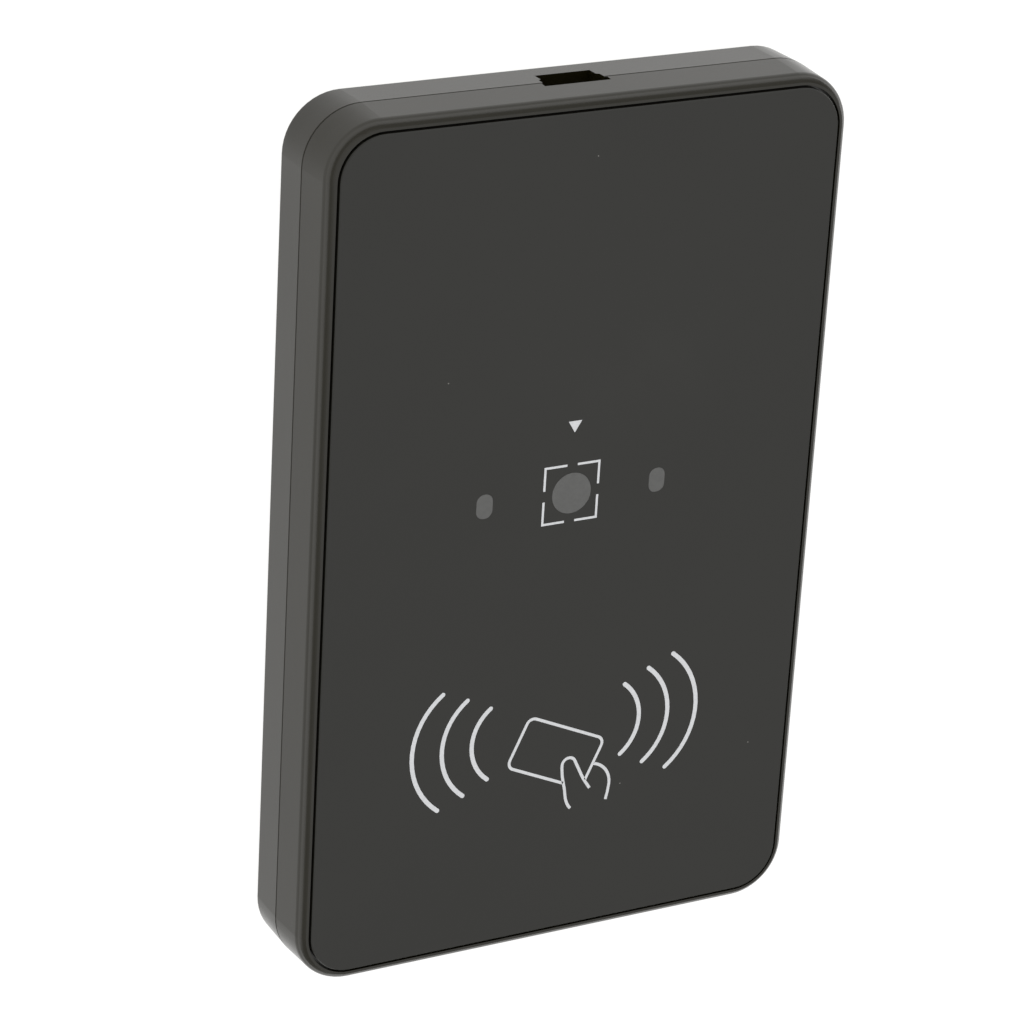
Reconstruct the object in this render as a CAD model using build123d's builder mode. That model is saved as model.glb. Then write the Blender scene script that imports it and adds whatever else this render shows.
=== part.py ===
from build123d import *
import os
from math import radians, tan

# A flat desktop card reader, in millimetres. It lies on its rubber feet:
# +Z comes out of the front panel, +Y points at the USB end, and the origin is
# on the table, under the middle of the case.

# --- Driving dimensions -------------------------------------------------------

# Case: width and length are taken at the seam, from which both shells lean in
case_width = 68.3
case_length = 109.5
case_depth = 12.3
case_corner_radius = 7.1
rear_draft = 1.2
front_draft = 2.8
wall = 1.8
rear_shell_depth = 5.92
front_edge_radius = 1.6
front_edge_trim = 0.18      # the rounding stops this short of level, at a crisp edge of the rim
rear_edge_radius = 0.5
seam_gap = 0.08
seam_chamfer = 0.1
lip_thickness = 0.8
lip_height = 1.0
lip_clearance = 0.12
cut_overrun = 1.0           # cutters that start outside the case start this far out

# Front panel, which stands a little proud of the rim, and the sheet that glues it down
rim_width = 1.12
groove_width = 0.3
panel_thickness = 1.0
panel_proud = 0.2
panel_edge_chamfer = 0.12
tape_thickness = 0.15
tape_inset = 1.0
tape_window_gap = 0.3
deck_thickness = 1.4

# Windows in the panel, which sit a little left of the middle
window_x = -0.52
window_y = 5.8
status_window_diameter = 5.2
side_window_width = 2.15
side_window_height = 3.1
side_window_corner = 1.0
side_window_spacing = 11.58
window_fit = 0.02
guide_flange = 0.7
guide_flange_thickness = 0.5

# Feet and the screws that they cover
foot_x = 26.0
foot_y = 46.9
foot_radius = 4.5
foot_proud = 1.2
foot_recess = 0.8
foot_clearance = 0.2
foot_chamfer = 0.35
boss_radius = 4.0
boss_meeting_height = 5.0
post_radius = 3.4
screw_head_radius = 2.3
screw_head_thickness = 1.7
screw_head_edge = 0.5
screw_head_gap = 0.1        # between the head and the foot that covers it
screw_head_clearance = 0.3
screw_radius = 1.2
screw_clearance = 0.2
screw_reach = 4.0
screw_cross_length = 2.4
screw_cross_width = 0.6
screw_cross_depth = 1.0
pilot_overrun = 0.4
thread_fit = 0.02

# Circuit board, which hangs from the front shell with its chips facing the back
board_width = 61.0
board_length = 103.0
board_thickness = 1.6
board_notch = 8.6
board_post_x = 27.0
board_post_y = 32.0
board_post_radius = 2.4
board_screw_radius = 0.9
board_screw_head_radius = 1.9
board_screw_head_thickness = 1.2
board_screw_head_edge = 0.4
board_screw_end = 0.5       # past the posts, in the deck
board_hole_clearance = 0.25
board_cross_length = 2.0
board_cross_width = 0.5
board_cross_depth = 0.7

# USB port: the opening in the case, and the receptacle behind it
port_width = 8.6
port_rear_width = 8.0
port_narrow_width = 7.2
port_step_height = 1.5
port_step_slope = 0.3
port_overrun = 1.5          # the notches run on this far behind the wall
port_low = 3.1
port_high = 7.05
usb_width = 7.7
usb_narrow_width = 6.4
usb_height = 3.9
usb_length = 9.2
usb_sheet = 0.3
usb_recess = 1.9
usb_corner = 0.35

# Label and sound slots on the back
label_width = 44.0
label_height = 26.0
label_y = -8.0
label_thickness = 0.1
label_recess = 0.15
label_gap = 0.2
label_corner = 1.0

# --- Heights and sizes that follow from them ----------------------------------

back_z = foot_proud
floor_z = back_z + wall
seam_z = back_z + rear_shell_depth
front_z = back_z + case_depth
panel_top_z = front_z + panel_proud
panel_under_z = panel_top_z - panel_thickness
deck_z = panel_under_z - tape_thickness
deck_under_z = deck_z - deck_thickness
board_under_z = back_z + port_high
board_top_z = board_under_z + board_thickness
meeting_z = back_z + boss_meeting_height
foot_top_z = back_z + foot_recess
head_seat_z = foot_top_z + screw_head_thickness + screw_head_gap

rim_inner_inset = (front_z - seam_z) * tan(radians(front_draft)) + rim_width
panel_inset = rim_inner_inset + groove_width

corners = [(x, y) for x in (-foot_x, foot_x) for y in (-foot_y, foot_y)]
board_posts = [(x, y) for x in (-board_post_x, board_post_x) for y in (-board_post_y, board_post_y)]
left_window_x = window_x - side_window_spacing
right_window_x = window_x + side_window_spacing

# --- Helpers ------------------------------------------------------------------


def case_outline(inset=0.0, mode=Mode.ADD):
    """Rounded rectangle of the case, drawn in by the inset on every side."""
    width = case_width - 2 * inset
    length = case_length - 2 * inset
    return RectangleRounded(width, length, case_corner_radius - inset, mode=mode)


def status_window(grow=0.0):
    """Round outline of the middle window, grown by a margin."""
    with Locations((window_x, window_y)):
        return Circle(status_window_diameter / 2 + grow)


def side_window(x, grow=0.0):
    """Upright rounded outline of a side window, grown by a margin."""
    with Locations((x, window_y)):
        return RectangleRounded(
            side_window_width + 2 * grow,
            side_window_height + 2 * grow,
            side_window_corner + grow,
        )


def all_windows(grow=0.0):
    """The three window outlines, grown by a margin."""
    status_window(grow)
    side_window(left_window_x, grow)
    side_window(right_window_x, grow)


# --- The opening of the port, one notch in each shell -----------------------------

port_low_z = back_z + port_low
port_high_z = back_z + port_high
port_step_z = port_low_z + port_step_height
port_shoulder_z = port_step_z + port_step_slope
notch_depth = wall + port_overrun
outside_end = Plane.XZ.offset(-case_length / 2 - cut_overrun)

with BuildPart() as rear_port_notch:
    with BuildSketch(outside_end):
        with BuildLine():
            Polyline(
                (-port_narrow_width / 2, port_low_z),
                (port_narrow_width / 2, port_low_z),
                (port_narrow_width / 2, port_step_z),
                (port_rear_width / 2, port_shoulder_z),
                (port_rear_width / 2, port_high_z),
                (-port_rear_width / 2, port_high_z),
                (-port_rear_width / 2, port_shoulder_z),
                (-port_narrow_width / 2, port_step_z),
                close=True,
            )
        make_face()
    extrude(amount=notch_depth)

with BuildPart() as front_port_notch:
    with BuildSketch(outside_end):
        with Locations((0, (seam_z + port_high_z) / 2)):
            Rectangle(port_width, port_high_z - seam_z)
    extrude(amount=notch_depth)

# --- Rear shell -----------------------------------------------------------------

buzzer_x = 17.0
buzzer_y = 22.0
sound_slot_length = 6.0
sound_slot_width = 0.9
sound_slot_pitch = 2.2
sound_slot_count = 3
rib_thickness = 0.8
rib_height = 1.2
rib_length = 46.0
rib_count = 3
rib_pitch = 12.0
rib_middle_y = -26.0

with BuildPart() as rear_shell:
    with BuildSketch(Plane.XY.offset(seam_z)):
        case_outline()
    extrude(amount=-rear_shell_depth, taper=rear_draft)
    fillet(rear_shell.edges().group_by(Axis.Z)[0], rear_edge_radius)
    chamfer(rear_shell.edges().group_by(Axis.Z)[-1], seam_chamfer)

    # The tray, and the lip that stands inside the front shell
    with BuildSketch(Plane.XY.offset(floor_z)):
        case_outline(wall)
    extrude(amount=rear_shell_depth, mode=Mode.SUBTRACT)
    with BuildSketch(Plane.XY.offset(seam_z)):
        case_outline(wall - lip_thickness)
        case_outline(wall, mode=Mode.SUBTRACT)
    extrude(amount=lip_height)

    # Screw bosses, with the recess for each foot behind them
    with BuildSketch(Plane.XY.offset(floor_z)):
        with Locations(*corners):
            Circle(boss_radius)
    extrude(amount=meeting_z - floor_z)
    with BuildSketch(Plane.XY.offset(back_z)):
        with Locations(*corners):
            Circle(foot_radius + foot_clearance)
    extrude(amount=foot_recess, mode=Mode.SUBTRACT)
    with BuildSketch(Plane.XY.offset(foot_top_z)):
        with Locations(*corners):
            Circle(screw_head_radius + screw_head_clearance)
    extrude(amount=head_seat_z - foot_top_z, mode=Mode.SUBTRACT)
    with BuildSketch(Plane.XY.offset(head_seat_z)):
        with Locations(*corners):
            Circle(screw_radius + screw_clearance)
    extrude(amount=meeting_z - head_seat_z, mode=Mode.SUBTRACT)

    # Stiffening ribs under the antenna
    with BuildSketch(Plane.XY.offset(floor_z)):
        with Locations((0, rib_middle_y)):
            with GridLocations(0, rib_pitch, 1, rib_count):
                Rectangle(rib_length, rib_thickness)
    extrude(amount=rib_height)

    # Sound slots under the buzzer, and the shallow recess for the label
    with BuildSketch(Plane.XY.offset(back_z)):
        with Locations((buzzer_x, buzzer_y)):
            with GridLocations(0, sound_slot_pitch, 1, sound_slot_count):
                SlotOverall(sound_slot_length, sound_slot_width)
    extrude(amount=wall, mode=Mode.SUBTRACT)
    with BuildSketch(Plane.XY.offset(back_z)):
        with Locations((0, label_y)):
            RectangleRounded(label_width + 2 * label_gap, label_height + 2 * label_gap, label_corner)
    extrude(amount=label_recess, mode=Mode.SUBTRACT)

    add(rear_port_notch.part, mode=Mode.SUBTRACT)

# --- Front shell ----------------------------------------------------------------

with BuildPart() as front_shell:
    with BuildSketch(Plane.XY.offset(seam_z + seam_gap)):
        case_outline()
    extrude(amount=front_z + front_edge_trim - seam_z - seam_gap, taper=front_draft)
    fillet(front_shell.edges().group_by(Axis.Z)[-1], front_edge_radius)
    chamfer(front_shell.edges().group_by(Axis.Z)[0], seam_chamfer)
    with BuildSketch(Plane.XY.offset(front_z)):
        case_outline(-cut_overrun)
    extrude(amount=cut_overrun, mode=Mode.SUBTRACT)

    # The hollow under the deck, the step for the rear shell's lip, the panel's pocket
    with BuildSketch(Plane.XY.offset(seam_z)):
        case_outline(wall)
    extrude(amount=deck_under_z - seam_z, mode=Mode.SUBTRACT)
    with BuildSketch(Plane.XY.offset(seam_z)):
        case_outline(wall - lip_thickness - lip_clearance)
    extrude(amount=lip_height + lip_clearance, mode=Mode.SUBTRACT)
    with BuildSketch(Plane.XY.offset(deck_z)):
        case_outline(rim_inner_inset)
    extrude(amount=front_z - deck_z, mode=Mode.SUBTRACT)

    # Posts for the case screws, and shorter ones that the board is screwed to
    with BuildSketch(Plane.XY.offset(meeting_z)):
        with Locations(*corners):
            Circle(post_radius)
    extrude(amount=deck_under_z - meeting_z)
    with BuildSketch(Plane.XY.offset(meeting_z)):
        with Locations(*corners):
            Circle(screw_radius + thread_fit)
    extrude(amount=screw_reach + pilot_overrun, mode=Mode.SUBTRACT)
    with BuildSketch(Plane.XY.offset(board_top_z)):
        with Locations(*board_posts):
            Circle(board_post_radius)
    extrude(amount=deck_under_z - board_top_z)
    with BuildSketch(Plane.XY.offset(board_top_z)):
        with Locations(*board_posts):
            Circle(board_screw_radius + thread_fit)
    extrude(amount=deck_under_z - board_top_z + deck_thickness / 2, mode=Mode.SUBTRACT)

    # Holes for the light guides
    with BuildSketch(Plane.XY.offset(deck_under_z)):
        all_windows(grow=window_fit)
    extrude(amount=deck_thickness, mode=Mode.SUBTRACT)

    add(front_port_notch.part, mode=Mode.SUBTRACT)

# --- Front panel and its adhesive sheet -------------------------------------------

with BuildPart() as front_panel:
    with BuildSketch(Plane.XY.offset(panel_under_z)):
        case_outline(panel_inset)
    extrude(amount=panel_thickness)
    chamfer(front_panel.edges().group_by(Axis.Z)[-1], panel_edge_chamfer)
    with BuildSketch(Plane.XY.offset(panel_under_z)):
        all_windows(grow=window_fit)
    extrude(amount=panel_thickness, mode=Mode.SUBTRACT)

with BuildPart() as panel_tape:
    with BuildSketch(Plane.XY.offset(deck_z)):
        case_outline(panel_inset + tape_inset)
    extrude(amount=tape_thickness)
    with BuildSketch(Plane.XY.offset(deck_z)):
        all_windows(grow=tape_window_gap)
    extrude(amount=tape_thickness, mode=Mode.SUBTRACT)

# --- Light guides, pushed up through the deck until they are flush with the panel --

flange_under_z = deck_under_z - guide_flange_thickness

with BuildPart() as status_light_guide:
    with BuildSketch(Plane.XY.offset(flange_under_z)):
        status_window(grow=guide_flange)
    extrude(amount=guide_flange_thickness)
    with BuildSketch(Plane.XY.offset(deck_under_z)):
        status_window()
    extrude(amount=panel_top_z - deck_under_z)

with BuildPart() as left_light_guide:
    with BuildSketch(Plane.XY.offset(flange_under_z)):
        side_window(left_window_x, grow=guide_flange)
    extrude(amount=guide_flange_thickness)
    with BuildSketch(Plane.XY.offset(deck_under_z)):
        side_window(left_window_x)
    extrude(amount=panel_top_z - deck_under_z)

with BuildPart() as right_light_guide:
    with BuildSketch(Plane.XY.offset(flange_under_z)):
        side_window(right_window_x, grow=guide_flange)
    extrude(amount=guide_flange_thickness)
    with BuildSketch(Plane.XY.offset(deck_under_z)):
        side_window(right_window_x)
    extrude(amount=panel_top_z - deck_under_z)

# --- Circuit board and the loop antenna printed on its front side -------------------

antenna_width = 48.0
antenna_height = 38.0
antenna_y = -25.0
antenna_turns = 4
track_width = 0.9
track_pitch = 1.6
track_thickness = 0.07
antenna_corner = 3.0
antenna_corner_step = 0.5   # each turn's corner is tighter by this, down to the least
antenna_corner_least = 1.2
bridge_width = 3.0
bridge_overlap = 0.05

with BuildPart() as main_board:
    with BuildSketch(Plane.XY.offset(board_under_z)):
        Rectangle(board_width, board_length)
        with GridLocations(board_width, board_length, 2, 2):
            Rectangle(2 * board_notch, 2 * board_notch, mode=Mode.SUBTRACT)
        with Locations(*board_posts):
            Circle(board_screw_radius + board_hole_clearance, mode=Mode.SUBTRACT)
    extrude(amount=board_thickness)

with BuildPart() as antenna_tracks:
    with BuildSketch(Plane.XY.offset(board_top_z)):
        with Locations((0, antenna_y)):
            for turn in range(antenna_turns):
                step = 2 * turn * track_pitch
                corner = max(antenna_corner - turn * antenna_corner_step, antenna_corner_least)
                RectangleRounded(antenna_width - step, antenna_height - step, corner)
                RectangleRounded(
                    antenna_width - step - 2 * track_width,
                    antenna_height - step - 2 * track_width,
                    corner - track_width / 2,
                    mode=Mode.SUBTRACT,
                )
        # The slanted bridges where each turn steps in to the next
        bridge_end = bridge_width / 2 + bridge_overlap
        with Locations((0, antenna_y + antenna_height / 2 - antenna_turns * track_pitch / 2)):
            Rectangle(bridge_width, antenna_turns * track_pitch, mode=Mode.SUBTRACT)
        for turn in range(antenna_turns - 1):
            outer_y = antenna_y + antenna_height / 2 - turn * track_pitch
            inner_y = outer_y - track_pitch
            with BuildLine():
                Polyline(
                    (-bridge_end, outer_y),
                    (bridge_end, inner_y),
                    (bridge_end, inner_y - track_width),
                    (-bridge_end, outer_y - track_width),
                    close=True,
                )
            make_face()
    extrude(amount=track_thickness)

# --- Lights on the front side of the board ------------------------------------------

led_height = 0.75
led_base_height = 0.45
led_side_step = 0.15
led_end_step = 0.45
led_edge = 0.15
status_led_size = 3.2
side_led_width = 1.6
side_led_length = 3.0
standing = (Align.CENTER, Align.CENTER, Align.MIN)


def led(x, width, length):
    """A surface-mount LED: a base on the board with a narrower clear dome block on it."""
    with BuildPart() as made:
        with Locations((x, window_y, board_top_z)):
            Box(width, length, led_base_height, align=standing)
        with Locations((x, window_y, board_top_z + led_base_height)):
            Box(
                width - 2 * led_side_step,
                length - 2 * led_end_step,
                led_height - led_base_height,
                align=standing,
            )
        chamfer(made.edges().group_by(Axis.Z)[-1], led_edge)
    return made


status_led = led(window_x, status_led_size, status_led_size)
left_led = led(left_window_x, side_led_width, side_led_length)
right_led = led(right_window_x, side_led_width, side_led_length)

# --- Chips on the back side of the board, hanging down from it ------------------------

hanging = (Align.CENTER, Align.CENTER, Align.MAX)

mcu_at = (0.0, 27.0)
mcu_size = 7.0
mcu_height = 1.4
mcu_standoff = 0.1
mcu_edge = 0.2
mcu_dimple_inset = 1.1
mcu_dimple_radius = 0.5
mcu_dimple_depth = 0.1
mcu_pins_a_side = 12
pin_pitch = 0.5
pin_width = 0.22
pin_thickness = 0.13
pin_reach = 1.0
pin_drop = 0.8              # from the board to the far face of the pin's upper part
pin_bend_start = 0.45
pin_bend_end = 0.58

with BuildPart() as mcu_chip:
    with Locations((*mcu_at, board_under_z - mcu_standoff)):
        Box(mcu_size, mcu_size, mcu_height, align=hanging)
    chamfer(mcu_chip.edges().group_by(Axis.Z)[0], mcu_edge)
    chamfer(mcu_chip.edges().filter_by(Axis.Z), mcu_edge)
    # The pin-one dimple
    mcu_dimple = mcu_size / 2 - mcu_dimple_inset
    with BuildSketch(Plane.XY.offset(board_under_z - mcu_standoff - mcu_height)):
        with Locations((mcu_at[0] - mcu_dimple, mcu_at[1] + mcu_dimple)):
            Circle(mcu_dimple_radius)
    extrude(amount=mcu_dimple_depth, mode=Mode.SUBTRACT)

# One pin, from the side of the chip out and up to the board
with BuildPart() as gull_pin:
    with BuildSketch(Plane.XZ.offset(-pin_width / 2)):
        with BuildLine():
            Polyline(
                (0, -pin_drop),
                (pin_bend_start, -pin_drop),
                (pin_bend_end, -pin_thickness),
                (pin_reach, -pin_thickness),
                (pin_reach, 0),
                (pin_bend_end - pin_thickness, 0),
                (pin_bend_start - pin_thickness, -pin_drop + pin_thickness),
                (0, -pin_drop + pin_thickness),
                close=True,
            )
        make_face()
    extrude(amount=pin_width)

with BuildPart() as mcu_pins:
    with Locations((*mcu_at, board_under_z)):
        with PolarLocations(mcu_size / 2, 4):
            with GridLocations(0, pin_pitch, 1, mcu_pins_a_side):
                add(gull_pin.part)

reader_chip_at = (0.0, 10.0)
reader_chip_size = 5.0
reader_chip_height = 0.9
reader_dimple_inset = 0.7
reader_dimple_radius = 0.3
reader_dimple_depth = 0.05

with BuildPart() as reader_chip:
    with Locations((*reader_chip_at, board_under_z)):
        Box(reader_chip_size, reader_chip_size, reader_chip_height, align=hanging)
    reader_dimple = reader_chip_size / 2 - reader_dimple_inset
    with BuildSketch(Plane.XY.offset(board_under_z - reader_chip_height)):
        with Locations((reader_chip_at[0] - reader_dimple, reader_chip_at[1] + reader_dimple)):
            Circle(reader_dimple_radius)
    extrude(amount=reader_dimple_depth, mode=Mode.SUBTRACT)

# The regulator has one broad tab on one side and three narrow ones on the other
regulator_x = 14.0
regulator_y = 38.0
regulator_size = (6.5, 3.5, 1.6)
regulator_edge = 0.25
broad_tab_size = (3.0, 1.8, 0.25)
broad_tab_offset = 2.6
narrow_tab_size = (0.7, 1.5, 0.25)
narrow_tab_offset = 2.4
narrow_tab_pitch = 2.3

with BuildPart() as regulator:
    with Locations((regulator_x, regulator_y, board_under_z)):
        Box(*regulator_size, align=hanging)
    chamfer(regulator.edges().group_by(Axis.Z)[0], regulator_edge)
    with Locations((regulator_x, regulator_y + broad_tab_offset, board_under_z)):
        Box(*broad_tab_size, align=hanging)
    with Locations((regulator_x, regulator_y - narrow_tab_offset, board_under_z)):
        with GridLocations(narrow_tab_pitch, 0, 3, 1):
            Box(*narrow_tab_size, align=hanging)


def hanging_boxes(size, places, edge):
    """Small blocks of one size that hang from the board, as chip parts do."""
    with BuildPart() as made:
        with Locations(*[(x, y, board_under_z) for x, y in places]):
            Box(*size, align=hanging)
        chamfer(made.edges().filter_by(Axis.Z), edge)
    return made


# Standard package sizes, and where each part sits on the board
crystal_size = (3.2, 2.5, 0.8)
crystal_places = [(-9.0, 27.0), (7.5, 10.0)]
tantalum_size = (3.5, 2.8, 1.9)
tantalum_places = [(-13.0, 41.0), (-13.0, 36.0)]
inductor_size = (2.5, 2.0, 1.6)
inductor_places = [(-7.0, 4.0), (-7.0, 0.5)]
capacitor_size = (0.8, 1.6, 0.8)
capacitor_places = [(x, y) for x in (-13.5, -11.0) for y in (14.0, 10.0, 6.0, 2.0)]
resistor_size = (1.6, 0.8, 0.45)
resistor_places = [(x, y) for x in (-2.5, 0.0, 2.5) for y in (19.5, 16.5)]
can_edge = 0.3
moulded_edge = 0.1
ceramic_edge = 0.06

crystals = hanging_boxes(crystal_size, crystal_places, can_edge)
tantalum_capacitors = hanging_boxes(tantalum_size, tantalum_places, moulded_edge)
filter_inductors = hanging_boxes(inductor_size, inductor_places, can_edge)
chip_capacitors = hanging_boxes(capacitor_size, capacitor_places, ceramic_edge)
chip_resistors = hanging_boxes(resistor_size, resistor_places, ceramic_edge)

buzzer_radius = 4.6
buzzer_height = 4.0
buzzer_edge_radius = 0.4
buzzer_hole_radius = 1.0
buzzer_hole_depth = 2.5

with BuildPart() as buzzer:
    with BuildSketch(Plane.XY.offset(board_under_z - buzzer_height)):
        with Locations((buzzer_x, buzzer_y)):
            Circle(buzzer_radius)
    extrude(amount=buzzer_height)
    fillet(buzzer.edges().group_by(Axis.Z)[0], buzzer_edge_radius)
    with BuildSketch(Plane.XY.offset(board_under_z - buzzer_height)):
        with Locations((buzzer_x, buzzer_y)):
            Circle(buzzer_hole_radius)
    extrude(amount=buzzer_hole_depth, mode=Mode.SUBTRACT)

# --- USB receptacle, hanging from the board with its mouth at the port ----------------

usb_mouth_y = case_length / 2 - usb_recess
usb_back_y = usb_mouth_y - usb_length
usb_low_z = board_under_z - usb_height
usb_block_depth = 2.6
usb_shoulder = 1.5
tongue_width = 5.0
tongue_thickness = 0.9
tongue_length = 5.6
tongue_z = board_under_z - 2.3
block_fit = 0.02
solder_tab_length = 1.6
solder_tab_width = 1.8
solder_tab_overlap = 0.3    # how far a tab lies under the shell's side
solder_tab_pitch = 5.2
solder_tabs_back = 0.6      # from the shell's middle towards the back
contact_pitch = 0.8
contact_width = 0.36
contact_thickness = 0.15
contact_sink = 0.01         # below the tongue's face
contact_tip_gap = 1.6       # from the shell's mouth
contact_bend_gap = 0.35     # behind the block
contact_foot = 0.9
slot_fit = 0.02
slot_end_gap = 0.5
contact_places = [contact_pitch * step for step in (-2, -1, 0, 1, 2)]


def usb_section(inset=0.0):
    """Corners of the receptacle's section, wide beside the board and narrower away from it."""
    low = usb_low_z + inset
    high = board_under_z - inset
    shoulder = usb_low_z + usb_shoulder
    half_wide = usb_width / 2 - inset
    half_narrow = usb_narrow_width / 2 - inset
    right_side = [(half_narrow, low), (half_wide, shoulder), (half_wide, high)]
    left_side = [(-x, z) for x, z in reversed(right_side)]
    return right_side + left_side


with BuildPart() as usb_shell:
    with BuildSketch(Plane.XZ.offset(-usb_mouth_y)):
        Polygon(*usb_section(), align=None)
    extrude(amount=usb_length)
    fillet(usb_shell.edges().filter_by(Axis.Y), usb_corner)
    with BuildSketch(Plane.XZ.offset(-usb_mouth_y)):
        Polygon(*usb_section(usb_sheet), align=None)
    extrude(amount=usb_length, mode=Mode.SUBTRACT)
    # Soldering tabs, flat on the board at both sides
    tab_spacing = usb_width + solder_tab_length - 2 * solder_tab_overlap
    with Locations((0, usb_mouth_y - usb_length / 2 - solder_tabs_back, board_under_z)):
        with GridLocations(tab_spacing, solder_tab_pitch, 2, 2):
            Box(solder_tab_length, solder_tab_width, usb_sheet, align=hanging)

contact_slots = [(x, usb_back_y, tongue_z - tongue_thickness / 2) for x in contact_places]
slot_length = usb_block_depth + tongue_length - slot_end_gap
contact_slot = (contact_width + 2 * slot_fit, slot_length, 2 * contact_thickness)
slot_align = (Align.CENTER, Align.MIN, Align.CENTER)

with BuildPart() as usb_block:
    with BuildSketch(Plane.XZ.offset(-usb_back_y - usb_block_depth)):
        Polygon(*usb_section(usb_sheet + block_fit), align=None)
    extrude(amount=usb_block_depth)
    with Locations(*contact_slots):
        Box(*contact_slot, align=slot_align, mode=Mode.SUBTRACT)

with BuildPart() as usb_tongue:
    with Locations((0, usb_back_y + usb_block_depth, tongue_z)):
        Box(tongue_width, tongue_length, tongue_thickness, align=slot_align)
    with Locations(*contact_slots):
        Box(*contact_slot, align=slot_align, mode=Mode.SUBTRACT)

# One contact: along the tongue, out behind the block, up to the board and back
with BuildPart() as usb_contact:
    contact_tip_y = usb_mouth_y - contact_tip_gap
    contact_top = tongue_z - tongue_thickness / 2 + contact_thickness - contact_sink
    tail_y = usb_back_y - contact_bend_gap
    with BuildSketch(Plane.YZ.offset(-contact_width / 2)):
        with BuildLine():
            Polyline(
                (contact_tip_y, contact_top),
                (tail_y + contact_thickness, contact_top),
                (tail_y + contact_thickness, board_under_z),
                (tail_y - contact_foot, board_under_z),
                (tail_y - contact_foot, board_under_z - contact_thickness),
                (tail_y, board_under_z - contact_thickness),
                (tail_y, contact_top - contact_thickness),
                (contact_tip_y, contact_top - contact_thickness),
                close=True,
            )
        make_face()
    extrude(amount=contact_width)

with BuildPart() as usb_contacts:
    with Locations(*[(x, 0, 0) for x in contact_places]):
        add(usb_contact.part)

# --- Screws, feet and label -----------------------------------------------------------

with BuildPart() as case_screws:
    with BuildSketch(Plane.XY.offset(head_seat_z - screw_head_thickness)):
        with Locations(*corners):
            Circle(screw_head_radius)
    extrude(amount=screw_head_thickness)
    fillet(case_screws.edges().group_by(Axis.Z)[0], screw_head_edge)
    with BuildSketch(Plane.XY.offset(head_seat_z)):
        with Locations(*corners):
            Circle(screw_radius)
    extrude(amount=meeting_z + screw_reach - head_seat_z)
    # The cross in each head
    with BuildSketch(Plane.XY.offset(head_seat_z - screw_head_thickness)):
        with Locations(*corners):
            Rectangle(screw_cross_length, screw_cross_width)
            Rectangle(screw_cross_width, screw_cross_length)
    extrude(amount=screw_cross_depth, mode=Mode.SUBTRACT)

with BuildPart() as board_screws:
    with BuildSketch(Plane.XY.offset(board_under_z - board_screw_head_thickness)):
        with Locations(*board_posts):
            Circle(board_screw_head_radius)
    extrude(amount=board_screw_head_thickness)
    fillet(board_screws.edges().group_by(Axis.Z)[0], board_screw_head_edge)
    with BuildSketch(Plane.XY.offset(board_under_z)):
        with Locations(*board_posts):
            Circle(board_screw_radius)
    extrude(amount=deck_under_z - board_under_z + board_screw_end)
    with BuildSketch(Plane.XY.offset(board_under_z - board_screw_head_thickness)):
        with Locations(*board_posts):
            Rectangle(board_cross_length, board_cross_width)
            Rectangle(board_cross_width, board_cross_length)
    extrude(amount=board_cross_depth, mode=Mode.SUBTRACT)

with BuildPart() as rubber_feet:
    with BuildSketch():
        with Locations(*corners):
            Circle(foot_radius)
    extrude(amount=foot_top_z)
    chamfer(rubber_feet.edges().group_by(Axis.Z)[0], foot_chamfer)

with BuildPart() as rating_label:
    with BuildSketch(Plane.XY.offset(back_z + label_recess - label_thickness)):
        with Locations((0, label_y)):
            RectangleRounded(label_width, label_height, label_corner)
    extrude(amount=label_thickness)

# --- Write each piece to its own file ---------------------------------------------------

pieces = {
    "rear_shell": rear_shell,
    "front_shell": front_shell,
    "front_panel": front_panel,
    "panel_tape": panel_tape,
    "status_light_guide": status_light_guide,
    "left_light_guide": left_light_guide,
    "right_light_guide": right_light_guide,
    "main_board": main_board,
    "antenna_tracks": antenna_tracks,
    "status_led": status_led,
    "left_led": left_led,
    "right_led": right_led,
    "mcu_chip": mcu_chip,
    "mcu_pins": mcu_pins,
    "reader_chip": reader_chip,
    "regulator": regulator,
    "crystals": crystals,
    "tantalum_capacitors": tantalum_capacitors,
    "filter_inductors": filter_inductors,
    "chip_capacitors": chip_capacitors,
    "chip_resistors": chip_resistors,
    "buzzer": buzzer,
    "usb_shell": usb_shell,
    "usb_block": usb_block,
    "usb_tongue": usb_tongue,
    "usb_contacts": usb_contacts,
    "case_screws": case_screws,
    "board_screws": board_screws,
    "rubber_feet": rubber_feet,
    "rating_label": rating_label,
}

os.makedirs("parts", exist_ok=True)
for label, piece in pieces.items():
    piece.part.label = label
    export_step(piece.part, f"parts/{label}.step")
    print(label, len(piece.part.solids()), "solids", round(piece.part.volume, 1), "mm3")
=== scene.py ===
# %% [markdown]
# # A desktop card reader
#
# This lesson gives a flat card reader its finishes. The hard parts, such as the two shells, the
# panel, the board and the socket, come from a CAD model that is already the right size, so they
# stay as they are and only get real materials. What is thinner than CAD likes to draw, the ink
# printed on the panel, is modelled here. Everything is in metres, and the reader lies on its
# feet: +Z comes out of the panel and +Y points at the end with the socket.

from math import cos, radians, sin

import bmesh
import bpy
from mathutils import Matrix, Vector


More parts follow.
